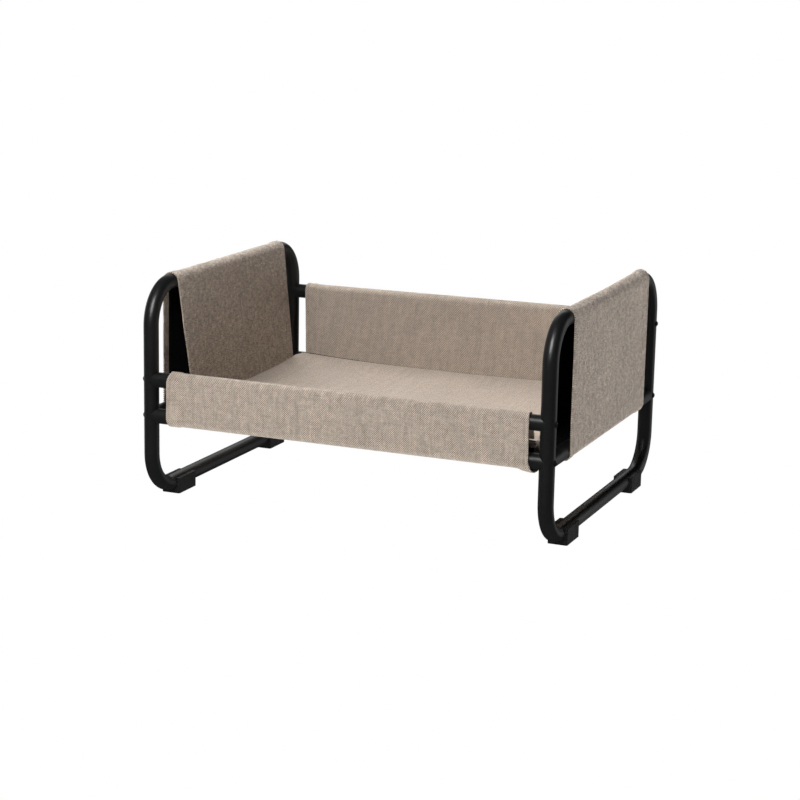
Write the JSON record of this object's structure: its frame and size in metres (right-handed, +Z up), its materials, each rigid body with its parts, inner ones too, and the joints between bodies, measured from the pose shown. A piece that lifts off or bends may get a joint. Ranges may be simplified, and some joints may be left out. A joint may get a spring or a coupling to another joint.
{
  "type": "pet bed",
  "caption": "Raised rectangular pet bed: bent-tube end loops joined by bolted rails, with fabric slings over the bars holding a hung fabric seat, on push-on feet.",
  "frame": {"origin": "on the floor under the middle of the bed", "axes": "+X along the bed towards its right end, +Y from the low front to the high rear, +Z up"},
  "size_m": [0.718, 0.5606, 0.3743],
  "materials": {
    "frame_tube": "black powder coat, satin, with a very fine orange peel",
    "insert_steel": "zinc-plated steel, hidden inside the rail ends",
    "bolt_steel": "black oxide, satin",
    "foot_plastic": "moulded black plastic, matt, softly worn edges",
    "woven_cloth": "coarse two-tone taupe weave on the face, black backing on the reverse",
    "backing_cloth": "black backing on the reverse of the cloth",
    "strip_cloth": "black hook and loop tape, napped",
    "thread": "taupe sewing thread, slightly glossy"
  },
  "bodies": {
    "root": {"left_end_loop": "frame_tube", "right_end_loop": "frame_tube", "left_cross_bar": "frame_tube", "right_cross_bar": "frame_tube", "front_lower_rail": "frame_tube", "front_upper_rail": "frame_tube", "rear_lower_rail": "frame_tube", "rear_upper_rail": "frame_tube", "front_lower_inserts": "insert_steel", "front_upper_inserts": "insert_steel", "rear_lower_inserts": "insert_steel", "rear_upper_inserts": "insert_steel", "left_bolts": "bolt_steel", "right_bolts": "bolt_steel", "front_left_foot": "foot_plastic", "front_right_foot": "foot_plastic", "rear_left_foot": "foot_plastic", "rear_right_foot": "foot_plastic", "left_end_sling": "woven_cloth", "right_end_sling": "woven_cloth", "front_sling": "woven_cloth", "rear_sling": "woven_cloth", "seat_sheet": "woven_cloth", "left_hook_strip": "strip_cloth", "left_loop_strip": "strip_cloth", "right_hook_strip": "strip_cloth", "right_loop_strip": "strip_cloth"}
  },
  "joints": []
}
